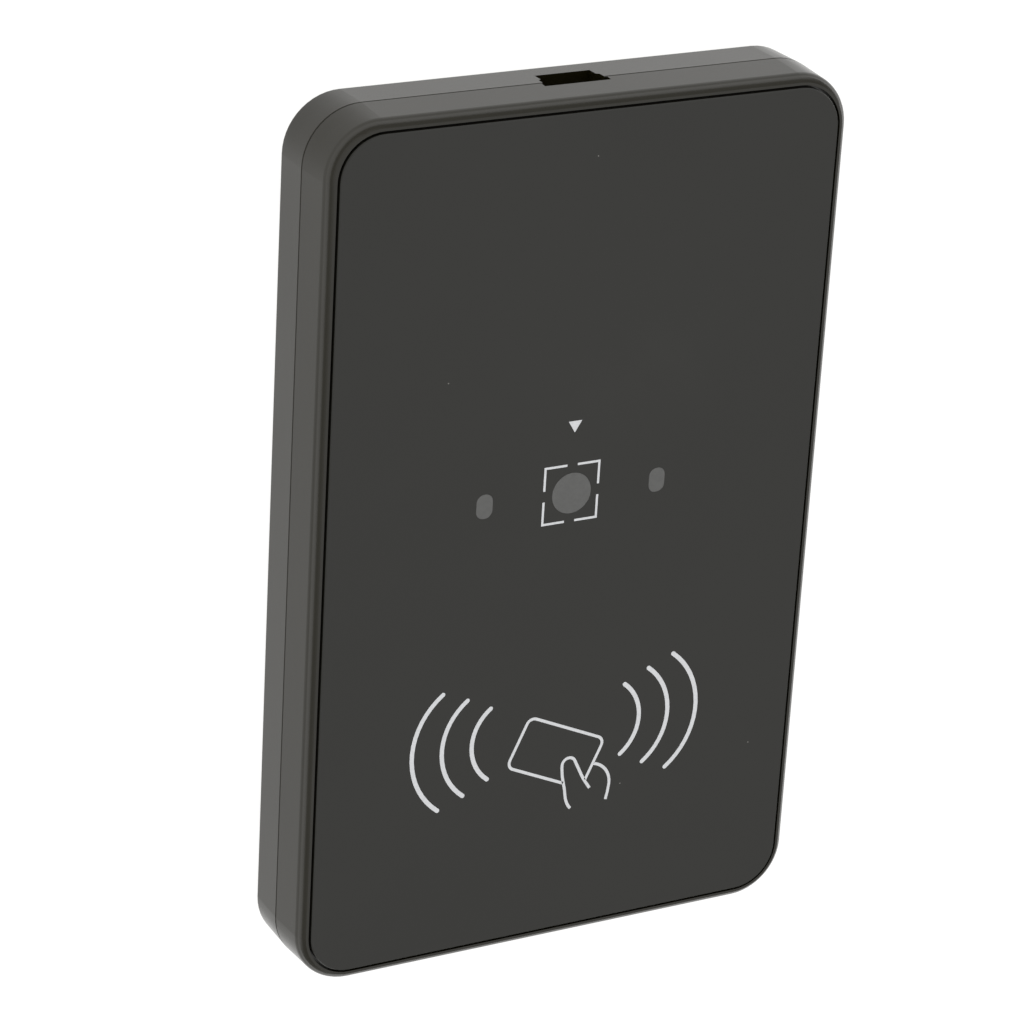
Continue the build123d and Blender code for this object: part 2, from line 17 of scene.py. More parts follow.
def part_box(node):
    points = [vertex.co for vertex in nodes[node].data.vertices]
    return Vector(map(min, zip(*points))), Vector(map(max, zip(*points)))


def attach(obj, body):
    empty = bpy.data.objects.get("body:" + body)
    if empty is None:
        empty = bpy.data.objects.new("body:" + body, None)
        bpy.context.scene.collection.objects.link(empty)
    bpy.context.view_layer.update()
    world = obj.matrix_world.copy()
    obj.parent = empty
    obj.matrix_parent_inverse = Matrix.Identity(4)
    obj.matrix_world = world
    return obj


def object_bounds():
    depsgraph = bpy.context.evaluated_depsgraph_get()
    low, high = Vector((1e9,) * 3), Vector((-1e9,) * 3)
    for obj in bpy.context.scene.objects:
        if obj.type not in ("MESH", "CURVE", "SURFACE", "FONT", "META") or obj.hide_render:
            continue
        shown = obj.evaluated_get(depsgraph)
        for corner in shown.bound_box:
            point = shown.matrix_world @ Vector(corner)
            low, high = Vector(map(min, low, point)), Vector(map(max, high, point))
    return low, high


MM = 0.001      # a millimetre, in metres

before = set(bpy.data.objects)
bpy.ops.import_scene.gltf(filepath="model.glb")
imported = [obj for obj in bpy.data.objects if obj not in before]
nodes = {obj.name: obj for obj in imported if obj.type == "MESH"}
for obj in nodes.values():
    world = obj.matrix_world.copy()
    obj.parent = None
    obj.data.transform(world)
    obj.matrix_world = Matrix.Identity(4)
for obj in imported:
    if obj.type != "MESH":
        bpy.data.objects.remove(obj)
bpy.context.view_layer.update()
cad_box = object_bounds()
cad_size = [round((high - low) / MM, 2) for low, high in zip(*cad_box)]
print(len(nodes), "pieces in a box of", cad_size, "mm")

# %% [markdown]
# Places are asked of the CAD model rather than typed in. The ink lies on the panel's top, and
# each drawing is placed from the middle of the round light window.

# %% Measure the pieces that others are placed by
panel_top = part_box("front_panel")[1].z
window_low, window_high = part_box("status_light_guide")
window_middle = Vector(((window_low.x + window_high.x) / 2, (window_low.y + window_high.y) / 2, 0))
print("panel top at", round(panel_top / MM, 2), "mm")
print("round window at", [round(v / MM, 2) for v in window_middle.xy], "mm")

# %% [markdown]
# The camera looks down on the reader from beyond its top left corner with a long lens, so that
# the long sides stay almost parallel. A camera looks along its own -Z. Building its three axes
# from the place, the point aimed at and a direction for "up" is easier to read than angles.

# %% Place the camera
camera_place = Vector((-0.2188, 0.1923, 0.3931))
aim = Vector((-0.00080, -0.00220, 0.0))
up_hint = Vector((-0.06075, 1.0, 0.0))

camera = bpy.data.objects.new("camera", bpy.data.cameras.new("camera"))
camera.data.lens = 141.54
camera.data.sensor_width = 36.0
camera.data.clip_start = 0.01
back = (camera_place - aim).normalized()
right = up_hint.cross(back).normalized()
up = back.cross(right)
camera.matrix_world = Matrix.Translation(camera_place) @ Matrix((right, up, back)).transposed().to_4x4()
bpy.context.scene.collection.objects.link(camera)
bpy.context.scene.camera = camera
bpy.context.scene.view_settings.view_transform = "Standard"
print("camera is", round((camera_place - aim).length, 3), "m from the reader")

# %% [markdown]
# ## Helpers for finishes
#
# Every finish starts as one Principled shader with its plain numbers typed on the shader. What
# varies over a surface is a small tree of nodes that ends in one of the shader's sockets. Each
# helper adds one node or two to such a tree and returns the result, so that a tree reads like a
# formula. Their owner is a material or the world, because both have a tree.

# %% Nodes that place, stretch and mix values
COLOUR_A, COLOUR_B, COLOUR_RESULT = 6, 7, 2     # a Mix node's colour sockets, whose names repeat


def new_finish(name, colour, roughness=0.5, metallic=0.0):
    """A material with one Principled shader, and that shader."""
    finish = bpy.data.materials.new(name)
    finish.use_nodes = True
    shader = finish.node_tree.nodes["Principled BSDF"]
    shader.inputs["Base Color"].default_value = (*colour, 1)
    shader.inputs["Roughness"].default_value = roughness
    shader.inputs["Metallic"].default_value = metallic
    return finish, shader


def pattern_node(owner, kind, turn=0.0, stretch=(1, 1, 1), centre=(0, 0, 0)):
    """A node that reads Object coordinates measured from a centre, turned about Z and stretched."""
    tree = owner.node_tree
    coordinates = tree.nodes.new("ShaderNodeTexCoord")
    mapping = tree.nodes.new("ShaderNodeMapping")
    mapping.vector_type = "TEXTURE"
    mapping.inputs["Location"].default_value = centre
    mapping.inputs["Rotation"].default_value = (0, 0, turn)
    mapping.inputs["Scale"].default_value = stretch
    pattern = tree.nodes.new(kind)
    tree.links.new(coordinates.outputs["Object"], mapping.inputs["Vector"])
    tree.links.new(mapping.outputs["Vector"], pattern.inputs[0])
    return pattern


def spread(owner, value, low, high, start=0.3, end=0.7, smooth=False):
    """Brings a value that runs from start to end to run from low to high."""
    ranger = owner.node_tree.nodes.new("ShaderNodeMapRange")
    ranger.interpolation_type = "SMOOTHSTEP" if smooth else "LINEAR"
    for socket, number in (("From Min", start), ("From Max", end), ("To Min", low), ("To Max", high)):
        ranger.inputs[socket].default_value = number
    owner.node_tree.links.new(value, ranger.inputs["Value"])
    return ranger.outputs["Result"]


def combine(owner, operation, first, second):
    """One Math node on two values, either of which may be a plain number."""
    sums = owner.node_tree.nodes.new("ShaderNodeMath")
    sums.operation = operation
    for socket, value in zip(sums.inputs, (first, second)):
        if isinstance(value, (int, float)):
            socket.default_value = value
        else:
            owner.node_tree.links.new(value, socket)
    return sums.outputs["Value"]


def blend_colours(owner, factor, first, second):
    """Goes from one colour to another, each a colour or a socket, as the factor goes from 0 to 1."""
    mix = owner.node_tree.nodes.new("ShaderNodeMix")
    mix.data_type = "RGBA"
    owner.node_tree.links.new(factor, mix.inputs["Factor"])
    for socket, colour in ((mix.inputs[COLOUR_A], first), (mix.inputs[COLOUR_B], second)):
        if isinstance(colour, tuple):
            socket.default_value = (*colour, 1)
        else:
            owner.node_tree.links.new(colour, socket)
    return mix.outputs[COLOUR_RESULT]


def feed(finish, value, shader, socket):
    """Plugs a pattern into one of the shader's sockets."""
    finish.node_tree.links.new(value, shader.inputs[socket])


# %% [markdown]
# A black thing shows mostly what it mirrors. The table is a backlit white sheet, which the sides
# of the case pick up at a shallow angle. Its glow is painted dimmer in a pool round the reader and
# brighter further out, a painted shade where a real table would lie in the reader's shade. Seen
# from the camera it is plain white all over, but the rounded front edge mirrors the far, brighter
# part and so keeps a bright line below its dark one.

# %% Lay the lit table
table_half_width = 2.5
table_drop = 0.01 * MM                  # keeps it just below the feet
table_warmth = (1.0, 0.995, 0.985)
table_colour = (0.12, 0.12, 0.12)
table_roughness = 0.9
# The shade numbers below paint a shade onto the table's glow: a dimmer pool round the reader.
shade_centre = (0.020, -0.020, 0.0)
shade_half_size = (0.054, 0.075, 1.0)   # reaches the left and top sides of the case
painted_shade_glow, glow_far = 0.95, 2.4         # strength of the glow
shade_start, shade_end = 1.3, 2.2       # in half sizes of the shade

table_mesh = bmesh.new()
bmesh.ops.create_grid(table_mesh, x_segments=1, y_segments=1, size=table_half_width)
table = bpy.data.objects.new("table", bpy.data.meshes.new("table"))
table_mesh.to_mesh(table.data)
table_mesh.free()
table.location.z = -table_drop
bpy.context.scene.collection.objects.link(table)

table_finish, table_shader = new_finish("lit_table", table_colour, table_roughness)
table_shader.inputs["Specular IOR Level"].default_value = 0.0
table_shader.inputs["Emission Color"].default_value = (*table_warmth, 1)
how_far = pattern_node(table_finish, "ShaderNodeVectorMath", centre=shade_centre, stretch=shade_half_size)
how_far.operation = "LENGTH"
# Painted shade: the glow is dimmer near the reader and rises further out.
glow_with_painted_shade = spread(
    table_finish, how_far.outputs["Value"], painted_shade_glow, glow_far,
    start=shade_start, end=shade_end, smooth=True,
)
feed(table_finish, glow_with_painted_shade, table_shader, "Emission Strength")
table.data.materials.append(table_finish)
print("table glows from", painted_shade_glow, "by the reader to", glow_far, "further out")

# %% [markdown]
# The rest of the light is the room, whose brightness changes with height. Halfway up it is dim,
# and a large white sheet hangs overhead. On the camera's side, to the left and beyond the top, a
# bright white sweep stands low round the table. The panel and the rim mirror the sheet, and the
# rounded edge below them sweeps over the dim band and then the bright one. The heights here are
# the sine of the angle above the horizon, which is what the Z of the world's direction gives.

# %% Light the room
bright_side = [     # height, brightness
    (0.00, 2.50),
    (0.20, 2.50),
    (0.38, 1.00),
    (0.60, 1.00),
    (0.78, 1.68),
]
dark_side = [
    (0.00, 0.70),
    (0.60, 0.70),
    (0.78, 1.68),
]
side_blend = 0.4        # how far the two sides blend into each other

world = bpy.data.worlds.new("room")
world.use_nodes = True
bpy.context.scene.world = world
room = world.node_tree
directions = room.nodes.new("ShaderNodeTexCoord")
direction = room.nodes.new("ShaderNodeSeparateXYZ")
room.links.new(directions.outputs["Generated"], direction.inputs["Vector"])


def bands(stops):
    """A colour for each height of the room."""
    ramp = room.nodes.new("ShaderNodeValToRGB")
    ramp.color_ramp.interpolation = "EASE"
    while len(ramp.color_ramp.elements) < len(stops):
        ramp.color_ramp.elements.new(1.0)
    for element, (height, brightness) in zip(ramp.color_ramp.elements, stops):
        element.position = height
        element.color = (brightness, brightness, brightness, 1)
    room.links.new(direction.outputs["Z"], ramp.inputs["Fac"])
    return ramp.outputs["Color"]


towards_camera = combine(world, "SUBTRACT", direction.outputs["Y"], direction.outputs["X"])
side = spread(world, towards_camera, 0.0, 1.0, start=-side_blend, end=side_blend, smooth=True)
both_sides = blend_colours(world, side, bands(dark_side), bands(bright_side))
room.links.new(both_sides, room.nodes["Background"].inputs["Color"])
print("low down the room is", bright_side[0][1], "bright on one side,", dark_side[0][1], "on the other")

# %% [markdown]
# What varies over the reader's surfaces, blotches, grain and fine lines, comes from noise
# textures that read Object coordinates, which here are metres from the middle of the table under the
# reader. A noise with a scale of 1 / size has blotches about that size, so sizes can be real.

# %% Noise, grain, and dressing a piece
def cloud(finish, size, detail=2.0, **placing):
    """A noise with blotches of a size in metres, from about 0.3 to 0.7."""
    noise = pattern_node(finish, "ShaderNodeTexNoise", **placing)
    noise.inputs["Scale"].default_value = 1 / size
    noise.inputs["Detail"].default_value = detail
    return noise.outputs["Fac"]


def raise_grain(finish, shader, height, depth):
    """Lets a height pattern tilt the surface, with its full depth in metres."""
    bump = finish.node_tree.nodes.new("ShaderNodeBump")
    bump.inputs["Distance"].default_value = depth
    finish.node_tree.links.new(height, bump.inputs["Height"])
    finish.node_tree.links.new(bump.outputs["Normal"], shader.inputs["Normal"])


def paint_over(finish, mask, colour):
    """Paints a colour over the pattern that a finish already has, where the mask is 1."""
    shader = finish.node_tree.nodes["Principled BSDF"]
    under = shader.inputs["Base Color"].links[0].from_socket
    feed(finish, blend_colours(finish, mask, under, colour), shader, "Base Color")


def dress(finish, *names):
    """Puts a finish on CAD pieces."""
    for name in names:
        nodes[name].data.materials.clear()
        nodes[name].data.materials.append(finish)
    print(finish.name, "on", ", ".join(names))


# %% [markdown]
# ## The case
#
# Both shells are moulded in black ABS. The mould is spark-eroded, which leaves a fine even grain
# about a fifth of a millimetre across and only some microns deep, so the sides look satin and
# not shiny. The plastic isn't one black: it varies a little in blotches the size of a fingertip.
# The rounded front edge is what hands and cards rub, so there the grain is polished down in
# patches. A band of height finds that edge, and a noise breaks it up.

# %% Case plastic
plastic_ior = 1.36          # below solid ABS, about 1.5, so that the sides mirror the table less
case_black = (0.0055, 0.0045, 0.0010)
case_worn_black = (0.0080, 0.0068, 0.0030)
case_roughness, case_worn_roughness = 0.22, 0.18
case_grain_size, case_grain_depth = 0.2 * MM, 0.006 * MM
rub_height = 1.3 * MM       # how far down from the panel's top the rubbing reaches
rub_size = 9 * MM
blotch_size, blotch_wear = 14 * MM, 0.55

case_plastic, case_shader = new_finish("case_plastic", case_black)
case_shader.inputs["IOR"].default_value = plastic_ior
height = pattern_node(case_plastic, "ShaderNodeSeparateXYZ").outputs["Z"]
near_front = spread(case_plastic, height, 0.0, 1.0, start=panel_top - rub_height, end=panel_top)
patches = spread(case_plastic, cloud(case_plastic, rub_size), 0.0, 1.0)
rubbed = combine(case_plastic, "MULTIPLY", near_front, patches)
blotches = spread(case_plastic, cloud(case_plastic, blotch_size, detail=4), 0.0, blotch_wear)
worn = combine(case_plastic, "MAXIMUM", rubbed, blotches)
worn_colour = blend_colours(case_plastic, worn, case_black, case_worn_black)
worn_gloss = spread(case_plastic, worn, case_roughness, case_worn_roughness, start=0.0, end=1.0)
feed(case_plastic, worn_colour, case_shader, "Base Color")
feed(case_plastic, worn_gloss, case_shader, "Roughness")
raise_grain(case_plastic, case_shader, cloud(case_plastic, case_grain_size, detail=1), case_grain_depth)
dress(case_plastic, "rear_shell", "front_shell")

# %% [markdown]
# ## The panel
#
# The panel is a sheet of dark acrylic with a satin face, which shows a faint haze where it was
# wiped, an uneven film left by fingers, and a few specks of dust. The haze is a soft round patch
# times a noise, the film is a noise alone, and both make the sheet paler and rougher.

# %% Panel sheet
panel_black = (0.0066, 0.0064, 0.0044)
panel_hazy = (0.0125, 0.0123, 0.0100)
clean_roughness, hazy_roughness = 0.32, 0.40
haze_centre = (0.008, 0.020, panel_top)
haze_reach = (0.028, 0.020, 0.02)
haze_turn = radians(35)
streak_size, streak_turn, streak_stretch = 7 * MM, radians(40), (1, 3, 1)
least_streak = 0.35         # how much of the haze is left between the streaks
film_size, film_strength = 26 * MM, 0.3
satin_size, satin_depth = 0.35 * MM, 0.002 * MM

panel_sheet, panel_shader = new_finish("panel_sheet", panel_black)
panel_shader.inputs["IOR"].default_value = plastic_ior
wipe = pattern_node(
    panel_sheet, "ShaderNodeTexGradient", centre=haze_centre, stretch=haze_reach, turn=haze_turn,
)
wipe.gradient_type = "QUADRATIC_SPHERE"
streaks = cloud(panel_sheet, streak_size, detail=5, turn=streak_turn, stretch=streak_stretch)
streaks = spread(panel_sheet, streaks, least_streak, 1.0)
wiped = combine(panel_sheet, "MULTIPLY", wipe.outputs["Fac"], streaks)
film = spread(panel_sheet, cloud(panel_sheet, film_size, detail=5), 0.0, film_strength)
haze = combine(panel_sheet, "MAXIMUM", wiped, film)
hazy_gloss = spread(panel_sheet, haze, clean_roughness, hazy_roughness, start=0.0, end=1.0)
feed(panel_sheet, blend_colours(panel_sheet, haze, panel_black, panel_hazy), panel_shader, "Base Color")
feed(panel_sheet, hazy_gloss, panel_shader, "Roughness")
raise_grain(panel_sheet, panel_shader, cloud(panel_sheet, satin_size, detail=2), satin_depth)


# %% [markdown]
# Dust is a Voronoi pattern in the plane of the panel. Each cell has one point, a speck is the
# small disc round it, and the cell's random colour decides whether that cell has a speck at all.

# %% Specks of dust
def specks(finish, spacing, size, share):
    """1 on small round specks, one at most in each cell of the spacing, in a share of the cells."""
    cells = pattern_node(finish, "ShaderNodeTexVoronoi")
    cells.voronoi_dimensions = "2D"
    cells.inputs["Scale"].default_value = 1 / spacing
    channels = finish.node_tree.nodes.new("ShaderNodeSeparateColor")
    finish.node_tree.links.new(cells.outputs["Color"], channels.inputs["Color"])
    dot = combine(finish, "LESS_THAN", cells.outputs["Distance"], size / spacing / 2)
    chosen = combine(finish, "LESS_THAN", channels.outputs["Red"], share)
    return combine(finish, "MULTIPLY", dot, chosen)


dust_colour = (0.20, 0.195, 0.18)
dust = specks(panel_sheet, spacing=9 * MM, size=0.14 * MM, share=0.07)
paint_over(panel_sheet, dust, dust_colour)
dress(panel_sheet, "front_panel")

# %% [markdown]
# ## The light windows
#
# The three windows are the ends of light guides in smoky plastic that scatters the light of the
# LEDs below. Unlit they are dark grey spots a little paler than the panel. Very fine mottling
# from the scattering filler keeps them from looking painted on.

# %% Smoky windows
smoke_grey = (0.052, 0.052, 0.0495)
smoke_pale = (0.061, 0.061, 0.058)
smoke_scatter = 0.4 * MM        # how far light travels inside the plastic

smoke_window, smoke_shader = new_finish("smoke_window", smoke_grey)
filler = spread(smoke_window, cloud(smoke_window, size=0.5 * MM, detail=4), 0.0, 1.0)
smoke_gloss = spread(smoke_window, cloud(smoke_window, size=2 * MM), low=0.34, high=0.44)
feed(smoke_window, blend_colours(smoke_window, filler, smoke_grey, smoke_pale), smoke_shader, "Base Color")
feed(smoke_window, smoke_gloss, smoke_shader, "Roughness")
raise_grain(smoke_window, smoke_shader, cloud(smoke_window, size=0.3 * MM), depth=0.002 * MM)
smoke_shader.inputs["Subsurface Weight"].default_value = 0.2
smoke_shader.inputs["Subsurface Radius"].default_value = (smoke_scatter, smoke_scatter, smoke_scatter)
smoke_shader.inputs["Subsurface Scale"].default_value = 1.0
dress(smoke_window, "status_light_guide", "left_light_guide", "right_light_guide")

# %% [markdown]
# ## The printed marks
#
# The marks on the panel are screen-printed ink, a few hundredths of a millimetre thick. A pen
# draws them: its nib is a short edge that is extruded straight ahead or spun round a centre, so
# every stroke has an exact width, exact arcs and square or round ends. The nib has a third point
# in its middle, because a round end is half of the nib spun about that point.

# %% A pen for strokes of ink
ink_thickness = 0.02 * MM
arc_step = radians(6)


def heading_vector(heading):
    """A unit vector in the plane of the panel, for a heading in degrees from +X."""
    return Vector((cos(radians(heading)), sin(radians(heading)), 0))


class Pen:
    """Draws one stroke of ink in a bmesh, from a place and a heading in degrees."""

    def __init__(self, sheet, place, heading, width, round_ends=False):
        self.sheet, self.place, self.heading = sheet, Vector(place), heading
        self.round_ends = round_ends
        left = heading_vector(heading + 90) * width / 2
        points = [sheet.verts.new(self.place + left * side) for side in (1, 0, -1)]
        self.nib = [sheet.edges.new(pair) for pair in zip(points, points[1:])]
        if round_ends:
            self.cap(self.nib[:1])

    def ahead(self, distance):
        """Goes straight on."""
        made = bmesh.ops.extrude_edge_only(self.sheet, edges=self.nib)["geom"]
        points = [part for part in made if isinstance(part, bmesh.types.BMVert)]
        edges = [part for part in made if isinstance(part, bmesh.types.BMEdge)]
        step = heading_vector(self.heading) * distance
        bmesh.ops.translate(self.sheet, verts=points, vec=step)
        self.nib = [edge for edge in edges if set(edge.verts) <= set(points)]
        self.place += step
        return self

    def turn(self, radius, degrees):
        """Follows an arc, to the left for positive degrees and to the right for negative ones."""
        side = 1 if degrees > 0 else -1
        centre = self.place + heading_vector(self.heading + 90 * side) * radius
        self.nib = self.spin(self.nib, centre, degrees)
        self.place = centre + Matrix.Rotation(radians(degrees), 3, "Z") @ (self.place - centre)
        self.heading += degrees
        return self

    def cap(self, half_nib):
        """Rounds an end by spinning half of the nib about its middle."""
        self.spin(half_nib, self.place, 180)

    def spin(self, edges, centre, degrees):
        """Spins edges about a centre and returns the last ones."""
        points = dict.fromkeys(vert for edge in edges for vert in edge.verts)    # each once, in order
        steps = max(2, round(abs(radians(degrees)) / arc_step))
        spun = bmesh.ops.spin(
            self.sheet, geom=[*points, *edges], cent=centre, axis=(0, 0, 1),
            angle=radians(degrees), steps=steps, use_merge=False, use_duplicate=False,
        )
        return [part for part in spun["geom_last"] if isinstance(part, bmesh.types.BMEdge)]

    def how_far_left(self, edge):
        """How far to the left of the pen the middle of an edge lies."""
        middle = (edge.verts[0].co + edge.verts[1].co) / 2
        return (middle - self.place).dot(heading_vector(self.heading + 90))

    def finish(self):
        """Ends the stroke."""
        if self.round_ends:
            self.cap(sorted(self.nib, key=self.how_far_left)[:1])


# %% [markdown]
# A drawing is still a flat sheet. Merging the points that lie on each other joins its strokes,
# and Solidify gives it the ink's thickness. The normals are made to agree before that, and
# recalculated on the closed solid after it, so that its faces point outwards.

# %% Turn a flat drawing into ink
same_point = 0.0005 * MM


def print_on_panel(name, sheet):
    """Makes a flat drawing a thin solid on the panel, and an object that rides with the case."""
    bmesh.ops.remove_doubles(sheet, verts=sheet.verts, dist=same_point)
    bmesh.ops.recalc_face_normals(sheet, faces=sheet.faces)
    bmesh.ops.solidify(sheet, geom=list(sheet.faces), thickness=ink_thickness)
    bmesh.ops.recalc_face_normals(sheet, faces=sheet.faces)
    lowest = min(vert.co.z for vert in sheet.verts)
    bmesh.ops.translate(sheet, verts=sheet.verts, vec=(0, 0, panel_top - lowest))
    mark = bpy.data.objects.new(name, bpy.data.meshes.new(name))
    sheet.to_mesh(mark.data)
    sheet.free()
    bpy.context.scene.collection.objects.link(mark)
    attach(mark, "root")
    mark.data.materials.append(ink)
    print(name, "has", len(mark.data.polygons), "faces")


# %% [markdown]
# The ink is a pale grey with a touch of blue. The screen's mesh leaves it slightly uneven, in
# thickness as well as in colour, which a fine noise gives.

# %% Ink
ink_grey = (0.50, 0.505, 0.515)
ink_thin_grey = (0.44, 0.445, 0.455)

ink, ink_shader = new_finish("print_ink", ink_grey)
coverage = spread(ink, cloud(ink, size=0.3 * MM, detail=3), 0.0, 1.0)
ink_gloss = spread(ink, cloud(ink, size=1.5 * MM), low=0.48, high=0.62)
feed(ink, blend_colours(ink, coverage, ink_thin_grey, ink_grey), ink_shader, "Base Color")
feed(ink, ink_gloss, ink_shader, "Roughness")
raise_grain(ink, ink_shader, cloud(ink, size=0.15 * MM), depth=0.004 * MM)
print("ink is", ink_grey)

# %% [markdown]
# Four corner brackets frame the round window. They are what is left of a square ring after the
# middle of each side is cut out: inset a square face, drop the inner face, slice the ring where
# the gaps begin and end, and delete the bits in between. The corners come out sharp by themselves.

# %% Target brackets
bracket_centre = window_middle + Vector((-0.10, 0.04, 0)) * MM
bracket_side = 7.22 * MM
bracket_stroke = 0.29 * MM
bracket_gap = 1.4 * MM

brackets = bmesh.new()
bmesh.ops.create_grid(brackets, x_segments=1, y_segments=1, size=(bracket_side + bracket_stroke) / 2)
bmesh.ops.translate(brackets, verts=brackets.verts, vec=bracket_centre)
inner_face = list(brackets.faces)
bmesh.ops.inset_region(
    brackets, faces=inner_face, thickness=bracket_stroke, use_boundary=True, use_even_offset=True,
)
bmesh.ops.delete(brackets, geom=inner_face, context="FACES")
for axis in (Vector((1, 0, 0)), Vector((0, 1, 0))):
    for side in (-1, 1):
        bmesh.ops.bisect_plane(
            brackets, geom=[*brackets.verts, *brackets.edges, *brackets.faces],
            plane_co=bracket_centre + axis * side * bracket_gap / 2, plane_no=axis,
        )
in_gap = [
    face for face in brackets.faces
    if min(abs(offset) for offset in (face.calc_center_median() - bracket_centre).xy) < bracket_gap / 2
]
bmesh.ops.delete(brackets, geom=in_gap, context="FACES")
print_on_panel("target_brackets", brackets)

# %% [markdown]
# The arrowhead above the brackets is three points and a face.

# %% Arrowhead
arrow_tip = window_middle + Vector((-0.09, 7.78, 0)) * MM
arrow_width = 1.78 * MM
arrow_height = 1.47 * MM

arrow = bmesh.new()
arrow_corners = [arrow_tip + Vector((side * arrow_width / 2, arrow_height, 0)) for side in (-1, 1)]
arrow.faces.new([arrow.verts.new(point) for point in (arrow_tip, *arrow_corners)])
print_on_panel("arrowhead", arrow)

# %% [markdown]
# Three arcs on each side of the card stand for radio waves. They all have their middle at the
# same height and the same half angle, and they grow outwards.

# %% Radio waves
wave_middle = window_middle + Vector((0, -31.48, 0)) * MM
wave_stroke = 0.57 * MM
wave_half_angle = 52.0
waves = [   # radius, and how far the arc reaches from the middle
    (9.84 * MM, 19.55 * MM),
    (8.10 * MM, 15.54 * MM),
    (6.03 * MM, 11.52 * MM),
]

for name, outward in (("left_waves", 180), ("right_waves", 0)):
    drawing = bmesh.new()
    for radius, reach in waves:
        centre = wave_middle + heading_vector(outward) * (reach - radius)
        start = centre + heading_vector(outward - wave_half_angle) * radius
        pen = Pen(drawing, start, outward - wave_half_angle + 90, wave_stroke, round_ends=True)
        pen.turn(radius, 2 * wave_half_angle).finish()
    print_on_panel(name, drawing)

# %% [markdown]
# The card is the outline of a rounded rectangle, held aslant. The outline is open at the lower
# right corner, where the hand covers it. The pen starts at the thumb and goes round clockwise.

# %% Card
card_centre = window_middle + Vector((0.15, -34.43, 0)) * MM
card_long, card_short = 11.6 * MM, 6.9 * MM
card_corner = 0.95 * MM
card_tilt = -24.5
card_stroke = 0.38 * MM
card_start = 2.96 * MM      # along the lower edge, from its middle
card_end = 2.25 * MM        # down the right edge, from its middle

along, across = heading_vector(card_tilt), heading_vector(card_tilt + 90)
card = bmesh.new()
pen = Pen(card, card_centre + along * card_start - across * card_short / 2, card_tilt + 180, card_stroke)
pen.ahead(card_start + card_long / 2 - card_corner).turn(card_corner, -90)
pen.ahead(card_short - 2 * card_corner).turn(card_corner, -90)
pen.ahead(card_long - 2 * card_corner).turn(card_corner, -90)
pen.ahead(card_short / 2 - card_corner + card_end).finish()
print_on_panel("card_outline", card)

# %% [markdown]
# Two strokes make the hand: the thumb, which comes up, goes round its tip and comes back down
# over the palm, and the first finger, which bends away behind the card.

# %% Hand
hand_stroke = 0.39 * MM
thumb_start, thumb_heading = window_middle + Vector((2.67, -42.48, 0)) * MM, 132
thumb_tip_radius, thumb_tip_turn = 0.92 * MM, -156
finger_start, finger_heading = window_middle + Vector((5.59, -36.88, 0)) * MM, -14
knuckle_radius, knuckle_turn = 3.1 * MM, -81

hand = bmesh.new()
thumb = Pen(hand, thumb_start, thumb_heading, hand_stroke)
thumb.turn(3.33 * MM, -36).turn(10 * MM, 10).turn(9 * MM, -14).ahead(0.32 * MM)     # up to the tip
thumb.turn(thumb_tip_radius, thumb_tip_turn)
thumb.ahead(2.48 * MM).turn(8 * MM, 8).ahead(1.2 * MM).finish()                     # down again
finger = Pen(hand, finger_start, finger_heading, hand_stroke)
finger.turn(knuckle_radius, knuckle_turn).turn(12.8 * MM, -9.2).finish()
print("thumb ends at", [round(v / MM, 2) for v in thumb.place.xy], "mm")
print("finger ends at", [round(v / MM, 2) for v in finger.place.xy], "mm")
print_on_panel("hand_outline", hand)

# %% [markdown]
# ## Inside the case
#
# Nothing inside shows from outside, but the model can be opened, so the board and its parts get
# their own finishes. The board is glass fibre under green solder mask. The weave is faintly
# visible as fine bands, and buried copper tracks show as paler lines, here the edges of the cells
# of a Voronoi pattern that is measured square instead of round.

# %% Board
mask_green = (0.012, 0.085, 0.035)
track_green = (0.020, 0.140, 0.055)
track_spacing = 3.2 * MM
track_edge, track_full = 0.30, 0.32     # in spacings, from the middle of a cell
weave_scale = 1000.0                    # bands about 0.3 mm apart
board_relief = 0.008 * MM

board_green, board_shader = new_finish("board_green", mask_green)
tracks = pattern_node(board_green, "ShaderNodeTexVoronoi")
tracks.voronoi_dimensions = "2D"
tracks.distance = "CHEBYCHEV"
tracks.inputs["Scale"].default_value = 1 / track_spacing
track_band = spread(board_green, tracks.outputs["Distance"], 0.0, 1.0, start=track_edge, end=track_full)
weave = pattern_node(board_green, "ShaderNodeTexWave")
weave.inputs["Scale"].default_value = weave_scale
weave.inputs["Distortion"].default_value = 0.4
board_gloss = spread(board_green, cloud(board_green, size=6 * MM), low=0.22, high=0.34)
board_height = combine(board_green, "ADD", track_band, weave.outputs["Fac"])
board_colour = blend_colours(board_green, track_band, mask_green, track_green)
feed(board_green, board_colour, board_shader, "Base Color")
feed(board_green, board_gloss, board_shader, "Roughness")
raise_grain(board_green, board_shader, board_height, board_relief)
dress(board_green, "main_board")

# %% [markdown]
# Metals differ mostly in colour and in how they were finished: rolled sheet has long fine lines,
# plating is smooth with cloudy dull spots, and bare copper has brown tarnish. One helper makes
# them all from a clean colour, a dull colour, the size of the dull spots and a direction for the
# lines, which a noise stretched along that direction gives.

# %% Metal finishes
dull_start, dull_end = 0.42, 0.68       # where in the noise a metal turns dull
dull_roughening = 0.2
line_size = 0.08 * MM
lines_along_y = (1, 14, 1)


def metal(name, clean, dull, roughness, spot_size, line_stretch=(1, 1, 1), line_depth=0.001 * MM):
    """A metal with dull spots and fine lines along the longest stretch."""
    finish, shader = new_finish(name, clean, metallic=1.0)
    dullness = spread(finish, cloud(finish, spot_size, detail=4), 0.0, 1.0, start=dull_start, end=dull_end)
    gloss = spread(finish, dullness, roughness, roughness + dull_roughening, start=0.0, end=1.0)
    feed(finish, blend_colours(finish, dullness, clean, dull), shader, "Base Color")
    feed(finish, gloss, shader, "Roughness")
    raise_grain(finish, shader, cloud(finish, line_size, stretch=line_stretch), line_depth)
    return finish


